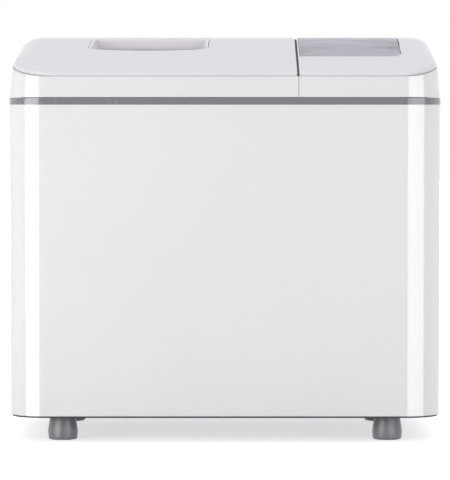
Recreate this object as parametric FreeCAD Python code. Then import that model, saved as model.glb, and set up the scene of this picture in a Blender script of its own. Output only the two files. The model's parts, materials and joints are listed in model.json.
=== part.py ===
import FreeCAD, Part
import math
import os

# Twin tub washer: a wash tub with a pulsator on the left, a spin tub with a basket on the right.
# Millimetres, +X right, +Y back, +Z up. The origin is on the floor, under the middle of the cabinet.

# ---------------------------------------------------------------- driving dimensions
WIDTH = 590.0
DEPTH = 356.0
CORNER_RADIUS = 48.0
FOOT_HEIGHT = 33.5
PAN_THICKNESS = 2.5
SHELL_BOTTOM = FOOT_HEIGHT + PAN_THICKNESS
BAND_BOTTOM = 459.5
BAND_TOP = 469.0
BAND_WIDTH = 15.0
CABINET_STEP = 1.0          # the cabinet stands this far inside the trim band
WALL = 2.5
DECK_THICKNESS = 4.5
LID_GAP = 0.6               # air between the band and the closed lids
LID_DRAFT = 0.082           # how far the lid sides lean in, per millimetre of height
PANEL_THICKNESS = 3.0
PANEL_INSET = 0.4           # the panel's edge stands this far inside the skirt's face
PANEL_CORNER_RADIUS = 62.0
LIP_DEPTH = 4.4             # the panel's turned-down lip reaches this far under the crown
LIP_GAP = 0.7               # the shadow line between the lip and the skirt
GRIP_DEPTH = 14.0
GRIP_BEZEL = 4.5
FRONT_CREASE = 502.0        # height of the edge between a lid's front skirt and its top
CROWN_TOP = 554.4
LID_REAR = 105.5
COWL_FRONT = 107.0
COWL_TOP = 528.0
FACIA_THICKNESS = 2.0
SEAM_X = 100.0              # the two lids meet here
SEAM_GAP = 0.6
HINGE_Y = 104.0
HINGE_Z = 534.0
HINGE_PIN_RADIUS = 2.0
KNUCKLE_RADIUS = 4.4
RUNNING_FIT = 0.05          # radial air round a turning shaft

WASH_X, WASH_Y = -112.0, -27.0
WASH_LENGTH, WASH_DEPTH, WASH_CORNER = 300.0, 245.0, 55.0
SPIN_X, SPIN_Y = 197.0, -27.0
SPIN_TUB_RADIUS = 88.0
BASKET_RADIUS = 76.0
BASKET_MOUTH = 60.0
WASH_TUB_BOTTOM = 178.0
SPIN_TUB_BOTTOM = 190.0
DECK_BOTTOM = BAND_BOTTOM - DECK_THICKNESS
TUB_TOP = DECK_BOTTOM

WASH_MOTOR_X = 18.0
MOTOR_RADIUS = 52.0
ROTOR_RADIUS = 30.0
PULSATOR_RADIUS = 95.0
BIG_PULLEY, SMALL_PULLEY = 60.0, 20.0
BELT_BOTTOM, BELT_TOP = 76.0, 86.0
BELT_THICKNESS = 5.0

VALVE_X, VALVE_Y = 70.0, 122.0
VALVE_RADIUS = 22.0
VALVE_BOTTOM, VALVE_TOP = 60.0, 116.0
VALVE_SEAT = 88.0
PIPE_RADIUS, PIPE_BORE = 10.0, 8.0
WASH_INLET_Z, SPIN_INLET_Z = 102.0, 76.0
WASH_DRAIN_X, WASH_DRAIN_Y = 0.0, 60.0
SPIN_DRAIN_X, SPIN_DRAIN_Y = 232.0, 38.0

KNOB_Y = 146.0
KNOBS = {"wash_timer_knob": -180.0, "drain_selector_knob": VALVE_X, "spin_timer_knob": 190.0}
KNOB_RADIUS = 17.0
STEM_RADIUS = 3.0

SERVICE_X0, SERVICE_X1, SERVICE_Z0, SERVICE_Z1 = -100.0, 120.0, 52.0, 160.0
SERVICE_FLOOR_Y = 146.0
GLAND_X = -60.0
INLET_X, INLET_Z = -110.0, 498.0
INLET_CUP_RADIUS = 20.0
INLET_FLOOR_Y = 153.0

FOOT_X, FOOT_Y = 223.0, 126.0
HINGE_SPOTS = {"wash": (-230.0, 45.0), "spin": (135.0, 238.0)}
BRAKE_PIVOT_X, BRAKE_PIVOT_Y = 150.0, 24.0
BRAKE_DRUM_RADIUS = 38.0


# ---------------------------------------------------------------- basic shapes
def vec(x, y, z):
    return FreeCAD.Vector(x, y, z)


def block(x0, x1, y0, y1, z0, z1):
    return Part.makeBox(x1 - x0, y1 - y0, z1 - z0, vec(x0, y0, z0))


def post(x, y, z0, z1, radius):
    return Part.makeCylinder(radius, z1 - z0, vec(x, y, z0))


def rod_x(x0, x1, y, z, radius):
    return Part.makeCylinder(radius, x1 - x0, vec(x0, y, z), vec(1, 0, 0))


def rod_y(x, y0, y1, z, radius):
    return Part.makeCylinder(radius, y1 - y0, vec(x, y0, z), vec(0, 1, 0))


def rounded_wire(x0, x1, y0, y1, z, radius):
    """A rectangle with rounded corners, as straight edges and quarter arcs."""
    corners = [(x1 - radius, y1 - radius, 0), (x0 + radius, y1 - radius, 90),
               (x0 + radius, y0 + radius, 180), (x1 - radius, y0 + radius, 270)]
    points = []
    for cx, cy, start in corners:
        for turn in (0, 45, 90):
            angle = math.radians(start + turn)
            points.append(vec(cx + radius * math.cos(angle), cy + radius * math.sin(angle), z))
    edges = []
    for corner in range(4):
        a, b, c = points[3 * corner:3 * corner + 3]
        after = points[(3 * corner + 3) % 12]
        edges.append(Part.Arc(a, b, c).toShape())
        edges.append(Part.LineSegment(c, after).toShape())
    return Part.Wire(edges)


def rounded_block(x0, x1, y0, y1, z0, z1, radius):
    return Part.Face(rounded_wire(x0, x1, y0, y1, z0, radius)).extrude(vec(0, 0, z1 - z0))


def plan_block(inset, z0, z1):
    """The cabinet's own plan, moved in by inset, as an upright block."""
    half_x, half_y = WIDTH / 2 - inset, DEPTH / 2 - inset
    return rounded_block(-half_x, half_x, -half_y, half_y, z0, z1, CORNER_RADIUS - inset)


def drafted_block(inset, z0, z1, corner=CORNER_RADIUS):
    """The plan of the lids and cowl, which lean in as they rise from the band."""
    wires = []
    for z in (z0, z1):
        lean = inset + CABINET_STEP + LID_DRAFT * (z - BAND_TOP)
        half_x, half_y = WIDTH / 2 - lean, DEPTH / 2 - lean
        wires.append(rounded_wire(-half_x, half_x, -half_y, half_y, z, corner - lean))
    return Part.makeLoft(wires, True, True)


def turned(x, y, profile):
    """A solid of revolution about the upright line at x, y. The profile holds (radius, height)."""
    points = [vec(x + radius, y, z) for radius, z in profile]
    face = Part.Face(Part.makePolygon(points + points[:1]))
    return face.revolve(vec(x, y, 0), vec(0, 0, 1), 360)


def around(count, radius, x, y, start=0.0):
    """Evenly spaced places on a circle, each with its angle in degrees."""
    for index in range(count):
        angle = start + 360.0 * index / count
        turn = math.radians(angle)
        yield x + radius * math.cos(turn), y + radius * math.sin(turn), angle


def pipe_along(points, bend, radius, bore):
    """A round pipe of straight runs joined by arcs of one bend radius."""
    solids = []
    for size in (radius, bore):
        edges = []
        start = points[0]
        for before, corner, after in zip(points, points[1:], points[2:]):
            toward = (corner - before).normalize()
            away = (after - corner).normalize()
            half_turn = toward.getAngle(away) / 2
            reach = bend * math.tan(half_turn)
            enter, leave = corner - toward * reach, corner + away * reach
            inward = (away - toward).normalize()
            middle = corner + inward * (bend / math.cos(half_turn) - bend)
            edges.append(Part.LineSegment(start, enter).toShape())
            edges.append(Part.Arc(enter, middle, leave).toShape())
            start = leave
        edges.append(Part.LineSegment(start, points[-1]).toShape())
        first = (points[1] - points[0]).normalize()
        section = Part.Wire(Part.makeCircle(size, points[0], first))
        solids.append(Part.Wire(edges).makePipeShell([section], True, True))
    return solids[0].cut(solids[1])


def save(name, *solids):
    """Write one sub-part. Identical pieces share a file as separate solids."""
    shape = solids[0] if len(solids) == 1 else Part.makeCompound(list(solids))
    shape.exportStep("parts/" + name + ".step")


# ---------------------------------------------------------------- cabinet, base and feet
def foot(x, y):
    body = turned(x, y, [(0, 0), (18.5, 0), (20.0, 2), (20.6, 12), (17.6, 32.0), (17.0, FOOT_HEIGHT),
                         (0, FOOT_HEIGHT)])
    well = post(x, y, -1, 12, 6.5)
    return body.cut(well).cut(post(x, y, 0, FOOT_HEIGHT + 1, 2.6))


def foot_screw(x, y):
    return post(x, y, 8.5, 12, 5.0).fuse(post(x, y, 12, 46, 2.5)).removeSplitter()


def make_base():
    spots = [(x, y) for x in (-FOOT_X, FOOT_X) for y in (-FOOT_Y, FOOT_Y)]
    plate = plan_block(3.0, FOOT_HEIGHT, SHELL_BOTTOM)
    rim = plan_block(3.8, SHELL_BOTTOM, 43).cut(plan_block(5.8, SHELL_BOTTOM - 1, 44))
    pan = plate.fuse(rim)
    for x, y in spots:
        pan = pan.cut(post(x, y, 30, 40, 2.6))
    save("base_pan", pan.removeSplitter())
    save("feet", *[foot(x, y) for x, y in spots])
    save("foot_screws", *[foot_screw(x, y) for x, y in spots])


def service_screw_spots():
    margin = 6.0
    middle = (SERVICE_X0 + SERVICE_X1) / 2
    for x in (SERVICE_X0 - margin, middle, SERVICE_X1 + margin):
        for z in (SERVICE_Z0 - margin, SERVICE_Z1 + margin):
            yield x, z


def make_cabinet_shell():
    outer = plan_block(CABINET_STEP, SHELL_BOTTOM, BAND_BOTTOM)
    shell = outer.cut(plan_block(CABINET_STEP + WALL, SHELL_BOTTOM - 1, BAND_BOTTOM + 1))
    back = DEPTH / 2 - CABINET_STEP
    shell = shell.cut(block(SERVICE_X0, SERVICE_X1, back - 10, back + 5, SERVICE_Z0, SERVICE_Z1))
    for x, z in service_screw_spots():
        shell = shell.cut(rod_y(x, back - 10, back + 5, z, 2.05))
    for row in range(5):
        z = 250 + 14 * row
        for x in (-150, 90):
            shell = shell.cut(block(x, x + 60, back - 10, back + 5, z, z + 5))
    save("cabinet_shell", shell)


def make_service_cover():
    back = DEPTH / 2 - CABINET_STEP
    inner_face = back - WALL
    tray = block(SERVICE_X0 + 0.5, SERVICE_X1 - 0.5, SERVICE_FLOOR_Y, back,
                 SERVICE_Z0 + 0.5, SERVICE_Z1 - 0.5)
    hollow = block(SERVICE_X0 + 3, SERVICE_X1 - 3, SERVICE_FLOOR_Y + WALL, back + 1,
                   SERVICE_Z0 + 3, SERVICE_Z1 - 3)
    flange = block(SERVICE_X0 - 12, SERVICE_X1 + 12, inner_face - 2, inner_face,
                   SERVICE_Z0 - 12 + 5, SERVICE_Z1 + 12)
    screws = []
    for x, z in service_screw_spots():
        flange = flange.cut(rod_y(x, inner_face - 5, inner_face + 5, z, 2.05))
        head = rod_y(x, back, back + 1.0, z, 4.2)
        screws.append(head.fuse(rod_y(x, inner_face - 6, back, z, 2.0)).removeSplitter())
    cover = tray.fuse(flange).cut(hollow)
    cover = cover.cut(rod_y(VALVE_X, SERVICE_FLOOR_Y - 1, SERVICE_FLOOR_Y + 5, SPIN_INLET_Z, 12.0))
    cover = cover.cut(rod_y(GLAND_X, SERVICE_FLOOR_Y - 1, SERVICE_FLOOR_Y + 5, SPIN_INLET_Z, 7.0))
    save("service_cover", cover.removeSplitter())
    save("service_screws", *screws)

    gland = rod_y(GLAND_X, SERVICE_FLOOR_Y + WALL, SERVICE_FLOOR_Y + 12, SPIN_INLET_Z, 10.0)
    gland = gland.fuse(rod_y(GLAND_X, SERVICE_FLOOR_Y - 8, SERVICE_FLOOR_Y + WALL, SPIN_INLET_Z, 7.0))
    gland = gland.cut(rod_y(GLAND_X, SERVICE_FLOOR_Y - 9, SERVICE_FLOOR_Y + 13, SPIN_INLET_Z, 3.6))
    save("cord_gland", gland.removeSplitter())


def make_trim_band():
    band = plan_block(0, BAND_BOTTOM, BAND_TOP)
    save("trim_band", band.cut(plan_block(BAND_WIDTH, BAND_BOTTOM - 1, BAND_TOP + 1)))


def make_top_deck():
    deck = plan_block(3.8, DECK_BOTTOM, BAND_BOTTOM)
    half_x, half_y = WASH_LENGTH / 2 - 3, WASH_DEPTH / 2 - 3
    deck = deck.cut(rounded_block(WASH_X - half_x, WASH_X + half_x, WASH_Y - half_y, WASH_Y + half_y,
                                  DECK_BOTTOM - 1, BAND_BOTTOM + 1, WASH_CORNER - 3))
    deck = deck.cut(post(SPIN_X, SPIN_Y, DECK_BOTTOM - 1, BAND_BOTTOM + 1, BASKET_MOUTH + 8))
    deck = deck.cut(post(VALVE_X, VALVE_Y, DECK_BOTTOM - 1, BAND_BOTTOM + 1, 5.0))
    save("top_deck", deck)


# ---------------------------------------------------------------- tubs and the spin basket
def make_wash_tub():
    half_x, half_y = WASH_LENGTH / 2, WASH_DEPTH / 2

    def level(grow, z0, z1):
        return rounded_block(WASH_X - half_x - grow, WASH_X + half_x + grow,
                             WASH_Y - half_y - grow, WASH_Y + half_y + grow, z0, z1, WASH_CORNER + grow)

    tub = level(0, WASH_TUB_BOTTOM, TUB_TOP).fuse(level(9, TUB_TOP - 3, TUB_TOP))
    tub = tub.cut(level(-WALL, WASH_TUB_BOTTOM + WALL, TUB_TOP + 1))
    tub = tub.cut(post(WASH_X, WASH_Y, WASH_TUB_BOTTOM - 1, WASH_TUB_BOTTOM + 5, 14.0))
    tub = tub.cut(post(WASH_DRAIN_X, WASH_DRAIN_Y, WASH_TUB_BOTTOM - 1, WASH_TUB_BOTTOM + 5, PIPE_BORE))
    save("wash_tub", tub.removeSplitter())

    floor = WASH_TUB_BOTTOM + WALL
    seal = turned(WASH_X, WASH_Y, [(8.05, WASH_TUB_BOTTOM), (14, WASH_TUB_BOTTOM), (14, floor),
                                   (17, floor), (15, floor + 3), (8.05, floor + 3)])
    save("pulsator_seal", seal)

    grille = post(WASH_DRAIN_X, WASH_DRAIN_Y, floor, floor + 2, 15.0)
    for x, y, _ in around(8, 5.0, WASH_DRAIN_X, WASH_DRAIN_Y):
        grille = grille.cut(post(x, y, floor - 1, floor + 3, 1.4))
    save("drain_grille", grille)

    wall_x = WASH_X - half_x + WALL
    frame = block(wall_x + 0.4, wall_x + 7, WASH_Y - 28, WASH_Y + 28, 318, 428)
    for row in range(9):
        z = 326 + 11 * row
        frame = frame.cut(block(wall_x - 1, wall_x + 9, WASH_Y - 22, WASH_Y + 22, z, z + 7))
    save("lint_filter", frame)


def make_spin_tub():
    floor = SPIN_TUB_BOTTOM + WALL
    tub = turned(SPIN_X, SPIN_Y, [
        (12, SPIN_TUB_BOTTOM), (SPIN_TUB_RADIUS, SPIN_TUB_BOTTOM), (SPIN_TUB_RADIUS, TUB_TOP - 3),
        (SPIN_TUB_RADIUS + 4, TUB_TOP - 3), (SPIN_TUB_RADIUS + 4, TUB_TOP),
        (SPIN_TUB_RADIUS - WALL, TUB_TOP), (SPIN_TUB_RADIUS - WALL, floor), (12, floor)])
    tub = tub.cut(post(SPIN_DRAIN_X, SPIN_DRAIN_Y, SPIN_TUB_BOTTOM - 1, floor + 1, PIPE_BORE))
    save("spin_tub", tub)

    bellows = [(7.05, 180), (26, 180), (30, 182), (22, 184), (30, 186), (22, 188), (30, SPIN_TUB_BOTTOM),
               (12, SPIN_TUB_BOTTOM), (12, 197), (7.05, 197)]
    save("spin_shaft_bellows", turned(SPIN_X, SPIN_Y, bellows))


def make_spin_basket():
    radius = BASKET_RADIUS
    basket = turned(SPIN_X, SPIN_Y, [
        (7, 205), (radius - 12, 205), (radius, 217), (radius, 428), (radius - 1.5, 428),
        (radius - 1.5, 217.6), (radius - 12.6, 206.5), (7, 206.5)])
    save("spin_basket", basket)
    balance = turned(SPIN_X, SPIN_Y, [
        (BASKET_MOUTH, 428), (radius, 428), (radius, 437), (radius - 3, 440), (BASKET_MOUTH + 3, 440),
        (BASKET_MOUTH, 437)])
    save("basket_balance_ring", balance)
    hub = turned(SPIN_X, SPIN_Y, [(7, 206.5), (26, 206.5), (22, 212), (12, 222), (0, 224), (0, 214), (7, 214)])
    save("basket_hub", hub)
    shaft = turned(SPIN_X, SPIN_Y, [(0, 66), (7, 66), (7, 214), (0, 214)])
    rotor = post(SPIN_X, SPIN_Y, 78, 132, ROTOR_RADIUS)
    save("spin_motor_rotor", shaft.fuse(rotor).removeSplitter())
    drum = turned(SPIN_X, SPIN_Y, [
        (7, 158), (14, 158), (14, 170), (34, 170), (34, 158), (BRAKE_DRUM_RADIUS, 158),
        (BRAKE_DRUM_RADIUS, 176), (7, 176)])
    save("brake_drum", drum)


# ---------------------------------------------------------------- drive
def motor_case(x, y, z0, z1, shaft_radius):
    bore = shaft_radius + RUNNING_FIT
    return turned(x, y, [
        (bore, z0), (20, z0), (24, z0 + 4), (MOTOR_RADIUS, z0 + 4), (MOTOR_RADIUS, z1 - 4), (24, z1 - 4),
        (20, z1), (bore, z1), (bore, z1 - 7), (MOTOR_RADIUS - 3, z1 - 7), (MOTOR_RADIUS - 3, z0 + 7),
        (bore, z0 + 7)])


def motor_stator(x, y, z0):
    z1 = z0 + 46
    outer = post(x, y, z0, z1, MOTOR_RADIUS - 3.1)
    stator = outer.cut(post(x, y, z0 - 1, z1 + 1, ROTOR_RADIUS + 0.6))
    for sx, sy, _ in around(12, 36.5, x, y):
        stator = stator.cut(post(sx, sy, z0 - 1, z1 + 1, 3.0))
    return stator


def pulley(x, y, radius, bore):
    flange = 6.0
    return turned(x, y, [
        (bore, BELT_BOTTOM - 4), (radius + flange, BELT_BOTTOM - 4), (radius + flange, BELT_BOTTOM - 1),
        (radius, BELT_BOTTOM - 1), (radius, BELT_TOP + 1), (radius + flange, BELT_TOP + 1),
        (radius + flange, BELT_TOP + 4), (bore, BELT_TOP + 4)])


def belt_outline(grow):
    """The loop round both pulleys, as a face that stands off the grooves by grow."""
    far, near = BIG_PULLEY + grow, SMALL_PULLEY + grow
    reach = WASH_MOTOR_X - WASH_X
    lean = math.acos((far - near) / reach)

    def rim(cx, radius, angle):
        return vec(cx + radius * math.cos(angle), WASH_Y + radius * math.sin(angle), BELT_BOTTOM)

    big_up, big_down = rim(WASH_X, far, lean), rim(WASH_X, far, -lean)
    small_up, small_down = rim(WASH_MOTOR_X, near, lean), rim(WASH_MOTOR_X, near, -lean)
    edges = [Part.Arc(big_up, rim(WASH_X, far, math.pi), big_down).toShape(),
             Part.LineSegment(big_down, small_down).toShape(),
             Part.Arc(small_down, rim(WASH_MOTOR_X, near, 0), small_up).toShape(),
             Part.LineSegment(small_up, big_up).toShape()]
    return Part.Face(Part.Wire(edges))


def make_wash_drive():
    frame = rounded_block(WASH_X - 62, WASH_MOTOR_X + 64, WASH_Y - 64, WASH_Y + 64, 166, 169, 20)
    frame = frame.cut(post(WASH_X, WASH_Y, 160, 175, 46))
    corners = [(x, y) for x in (WASH_X - 50, WASH_MOTOR_X - 4) for y in (WASH_Y - 52, WASH_Y + 52)]
    for x, y in corners:
        frame = frame.fuse(post(x, y, 169, WASH_TUB_BOTTOM, 6))
    save("motor_frame", frame.removeSplitter())

    gearbox = turned(WASH_X, WASH_Y, [
        (8 + RUNNING_FIT, 112), (30, 112), (45, 124), (45, WASH_TUB_BOTTOM), (20, WASH_TUB_BOTTOM),
        (20, 170), (8 + RUNNING_FIT, 170)])
    save("gearbox_case", gearbox)
    save("wash_motor_case", motor_case(WASH_MOTOR_X, WASH_Y, 100, 166, 6))
    save("motor_stators", motor_stator(WASH_MOTOR_X, WASH_Y, 110), motor_stator(SPIN_X, SPIN_Y, 82))
    rotor = post(WASH_MOTOR_X, WASH_Y, 70, 164, 6).fuse(post(WASH_MOTOR_X, WASH_Y, 110, 156, ROTOR_RADIUS))
    save("wash_motor_rotor", rotor.removeSplitter())
    save("wash_motor_pulley", pulley(WASH_MOTOR_X, WASH_Y, SMALL_PULLEY, 6))
    save("gearbox_pulley", pulley(WASH_X, WASH_Y, BIG_PULLEY, 8))

    belt = belt_outline(0.4 + BELT_THICKNESS).cut(belt_outline(0.4))
    save("drive_belt", belt.extrude(vec(0, 0, BELT_TOP - BELT_BOTTOM)))


def make_pulsator():
    x, y = WASH_X, WASH_Y
    save("pulsator_shaft", post(x, y, 70, 196, 8))
    disc = turned(x, y, [(8, 186), (PULSATOR_RADIUS - 4, 186), (PULSATOR_RADIUS, 188), (PULSATOR_RADIUS, 190),
                         (PULSATOR_RADIUS - 3, 193), (40, 194), (24, 206), (8, 208)])
    for _, _, angle in around(6, 1.0, x, y):
        vane = block(18, PULSATOR_RADIUS - 8, -4, 4, 191, 205)
        slope = block(0, 100, -6, 6, 0, 40)
        slope.rotate(vec(0, 0, 0), vec(0, 1, 0), 9)
        slope.translate(vec(18, 0, 205))
        vane = vane.cut(slope)
        vane.translate(vec(x, y, 0))
        vane.rotate(vec(x, y, 0), vec(0, 0, 1), angle)
        disc = disc.fuse(vane)
    disc = disc.cut(post(x, y, 180, 196, 8)).cut(post(x, y, 196, 220, 5.1))
    save("pulsator", disc.removeSplitter())
    head = post(x, y, 208, 212, 8.5).fuse(post(x, y, 196, 208, 5)).removeSplitter()
    save("pulsator_screw", head)


def make_spin_drive():
    save("spin_motor_case", motor_case(SPIN_X, SPIN_Y, 62, 148, 7))
    mounts = []
    for x, y, _ in around(3, 38.0, SPIN_X, SPIN_Y, start=30):
        mounts.append(turned(x, y, [(0, SHELL_BOTTOM), (12, SHELL_BOTTOM), (12, 42), (8, 50), (12, 60),
                                    (12, 66), (0, 66)]))
    save("spin_motor_mounts", *mounts)

    px, py = BRAKE_PIVOT_X, BRAKE_PIVOT_Y
    pivot = post(px, py, 176, SPIN_TUB_BOTTOM, 8).fuse(post(px, py, 158, 176, 3))
    save("brake_pivot", pivot.removeSplitter())
    lever = post(px, py, 162, 174, 7).fuse(block(px, px + 60, py - 4, py + 4, 162, 174))
    lever = lever.cut(post(px, py, 160, 176, 3 + RUNNING_FIT)).cut(post(px + 54, py, 160, 176, 1.5))
    save("brake_lever", lever.removeSplitter())
    face_y = SPIN_Y + BRAKE_DRUM_RADIUS + 2.6
    save("brake_pad", block(SPIN_X - 11, SPIN_X + 9, face_y, py - 4, 163, 173))


def make_capacitor():
    x, y = -205.0, 118.0
    can = post(x, y, SHELL_BOTTOM, 112, 17)
    terminals = [block(x - 8 + 12 * side, x - 4 + 12 * side, y - 3, y + 3, 112, 120) for side in (0, 1)]
    save("motor_capacitor", can.fuse(terminals[0]).fuse(terminals[1]).removeSplitter())


# ---------------------------------------------------------------- drain and water inlet
def make_drain():
    x, y = VALVE_X, VALVE_Y
    body = turned(x, y, [
        (0, VALVE_BOTTOM), (VALVE_RADIUS, VALVE_BOTTOM), (VALVE_RADIUS, VALVE_TOP),
        (STEM_RADIUS + RUNNING_FIT, VALVE_TOP), (STEM_RADIUS + RUNNING_FIT, VALVE_TOP - 3),
        (VALVE_RADIUS - 3, VALVE_TOP - 3), (VALVE_RADIUS - 3, VALVE_SEAT + 3), (10, VALVE_SEAT + 3),
        (10, VALVE_SEAT), (VALVE_RADIUS - 3, VALVE_SEAT), (VALVE_RADIUS - 3, VALVE_BOTTOM + 3),
        (0, VALVE_BOTTOM + 3)])
    body = body.fuse(block(x - 14, x + 14, y - 14, y + 14, SHELL_BOTTOM, VALVE_BOTTOM))

    here = vec(x, y, 0)
    wash_way = (vec(WASH_DRAIN_X, WASH_DRAIN_Y, 0) - here).normalize()
    spin_way = (vec(SPIN_DRAIN_X, SPIN_DRAIN_Y, 0) - here).normalize()
    for way, z in ((wash_way, WASH_INLET_Z), (spin_way, SPIN_INLET_Z), (vec(0, 1, 0), SPIN_INLET_Z)):
        body = body.cut(Part.makeCylinder(PIPE_RADIUS, VALVE_RADIUS + 4, vec(x, y, z) + way * 12, way))
    save("drain_valve_body", body.removeSplitter())

    rim = VALVE_RADIUS - 2.5
    wash_route = [vec(WASH_DRAIN_X, WASH_DRAIN_Y, WASH_TUB_BOTTOM), vec(WASH_DRAIN_X, WASH_DRAIN_Y, WASH_INLET_Z),
                  vec(x, y, WASH_INLET_Z) + wash_way * rim]
    spin_route = [vec(SPIN_DRAIN_X, SPIN_DRAIN_Y, SPIN_TUB_BOTTOM), vec(SPIN_DRAIN_X, SPIN_DRAIN_Y, SPIN_INLET_Z),
                  vec(x, y, SPIN_INLET_Z) + spin_way * rim]
    save("wash_drain_pipe", pipe_along(wash_route, 28.0, PIPE_RADIUS, PIPE_BORE))
    save("spin_drain_pipe", pipe_along(spin_route, 40.0, PIPE_RADIUS, PIPE_BORE))

    spigot = rod_y(x, SERVICE_FLOOR_Y + WALL, SERVICE_FLOOR_Y + 27, SPIN_INLET_Z, 11.0)
    spigot = spigot.fuse(rod_y(x, y + rim, SERVICE_FLOOR_Y, SPIN_INLET_Z, PIPE_RADIUS))
    spigot = spigot.fuse(rod_y(x, SERVICE_FLOOR_Y, SERVICE_FLOOR_Y + WALL, SPIN_INLET_Z, 11.98))
    spigot = spigot.cut(rod_y(x, y, SERVICE_FLOOR_Y + 30, SPIN_INLET_Z, PIPE_BORE))
    save("drain_spigot", spigot.removeSplitter())

    disc = post(x, y, VALVE_SEAT + 3.3, VALVE_SEAT + 7, 13)
    save("drain_plunger", disc.fuse(post(x, y, VALVE_SEAT + 7, 496, STEM_RADIUS)).removeSplitter())


def make_water_inlet():
    back = DEPTH / 2 - CABINET_STEP - LID_DRAFT * (INLET_Z - BAND_TOP)
    cup = rod_y(INLET_X, INLET_FLOOR_Y, back - 2.5, INLET_Z, INLET_CUP_RADIUS)
    cup = cup.cut(rod_y(INLET_X, INLET_FLOOR_Y + 2, back + 5, INLET_Z, INLET_CUP_RADIUS - 2))
    cup = cup.cut(rod_y(INLET_X, INLET_FLOOR_Y - 5, back, INLET_Z, 9.0))
    save("inlet_cup", cup)
    route = [vec(INLET_X, 171.0, INLET_Z), vec(INLET_X, 82.0, INLET_Z), vec(INLET_X, 82.0, INLET_Z - 28)]
    spout = pipe_along(route, 16.0, 9.0, 6.5)
    nozzle = rod_y(INLET_X, INLET_FLOOR_Y + 2, 171, INLET_Z, 10.0)
    nozzle = nozzle.cut(rod_y(INLET_X, INLET_FLOOR_Y, 172, INLET_Z, 6.5))
    save("inlet_spout", spout.fuse(nozzle).removeSplitter())


# ---------------------------------------------------------------- rear cowl, facia and knobs
def make_cowl():
    outer = drafted_block(0, BAND_TOP, COWL_TOP).common(block(-300, 300, COWL_FRONT, 200, BAND_TOP, COWL_TOP))
    hollow = drafted_block(WALL, BAND_TOP, COWL_TOP)
    hollow = hollow.common(block(-300, 300, COWL_FRONT + WALL, 200, BAND_TOP - 1, COWL_TOP - WALL))
    apron = block(-279.5, 279.5, COWL_FRONT, COWL_FRONT + WALL, BAND_BOTTOM, BAND_TOP)
    cowl = outer.cut(hollow).fuse(apron)
    cowl = cowl.cut(rod_y(INLET_X, 140, 190, INLET_Z, INLET_CUP_RADIUS + RUNNING_FIT))
    cowl = cowl.cut(rod_y(INLET_X, COWL_FRONT - 5, 140, INLET_Z, 9.0 + RUNNING_FIT))
    for x in KNOBS.values():
        cowl = cowl.cut(post(x, KNOB_Y, COWL_TOP - 6, COWL_TOP + 1, 6.0))
    save("rear_cowl", cowl.removeSplitter())

    facia = drafted_block(1.5, COWL_TOP, COWL_TOP + FACIA_THICKNESS)
    facia = facia.common(block(-300, 300, COWL_FRONT + 4.5, 200, COWL_TOP, COWL_TOP + 5))
    for x in KNOBS.values():
        facia = facia.cut(post(x, KNOB_Y, COWL_TOP - 1, COWL_TOP + 5, STEM_RADIUS + RUNNING_FIT))
    save("control_facia", facia)


def knob(x):
    base = COWL_TOP + FACIA_THICKNESS + 0.8
    body = turned(x, KNOB_Y, [(0, base), (KNOB_RADIUS, base), (KNOB_RADIUS, base + 3), (KNOB_RADIUS - 3, base + 5),
                              (KNOB_RADIUS - 4, base + 16), (KNOB_RADIUS - 6, base + 17), (0, base + 17)])
    stem = post(x, KNOB_Y, COWL_TOP - 24, base, STEM_RADIUS)
    pointer = block(x - 1, x + 1, KNOB_Y - KNOB_RADIUS + 2.5, KNOB_Y - 5, base + 4, base + 17.2)
    return body.fuse(stem).fuse(pointer).removeSplitter()


def switch_body(x):
    top = COWL_TOP - WALL
    body = block(x - 20, x + 20, KNOB_Y - 17, KNOB_Y + 19, top - 34, top)
    return body.cut(post(x, KNOB_Y, top - 23, top + 1, STEM_RADIUS + RUNNING_FIT))


def make_controls():
    for name, x in KNOBS.items():
        save(name, knob(x))
    save("timer_bodies", switch_body(KNOBS["wash_timer_knob"]), switch_body(KNOBS["spin_timer_knob"]))
    save("selector_body", switch_body(KNOBS["drain_selector_knob"]))
    save("lid_switch", block(256, 272, COWL_FRONT + WALL, COWL_FRONT + 22, 490, COWL_TOP - WALL))


# ---------------------------------------------------------------- lids
def crown_height(x, y):
    """Height of the lids' upper surface: a front slope, a rounded crown and a slow fall behind it.

    Towards the cabinet's sides the surface rolls off, more gently on the wash lid than on the spin lid.
    """
    front_end, crown_line = -9.0, 34.0
    if y <= front_end:
        height = FRONT_CREASE + 0.275 * (y + DEPTH / 2)
    elif y < crown_line:
        height = CROWN_TOP - (crown_line - y) ** 2 / 312
    else:
        height = CROWN_TOP - (y - crown_line) ** 2 / 1000
    flat_half, roll_width = 254.0, 34.6
    beyond = max(0.0, abs(x) - flat_half) / roll_width
    ramp = min(1.0, max(0.0, (y + DEPTH / 2 - 60) / 130))
    roll = 14.3 * beyond ** 2.5 if x < 0 else 12 * beyond ** 3.5
    return height - ramp * ramp * (3 - 2 * ramp) * roll


def below_crown(drop):
    """Everything under the crown surface moved down by drop."""
    columns = [-300 + 6.0 * step for step in range(9)] + [-244 + 24.4 * step for step in range(21)]
    columns += [252 + 6.0 * step for step in range(9)]
    rows = [-190 + 12.0 * step for step in range(27)]
    points = [[vec(x, y, crown_height(x, y) - drop) for y in rows] for x in columns]
    surface = Part.BSplineSurface()
    surface.interpolate(points)
    return surface.toShape().extrude(vec(0, 0, -160))


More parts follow.
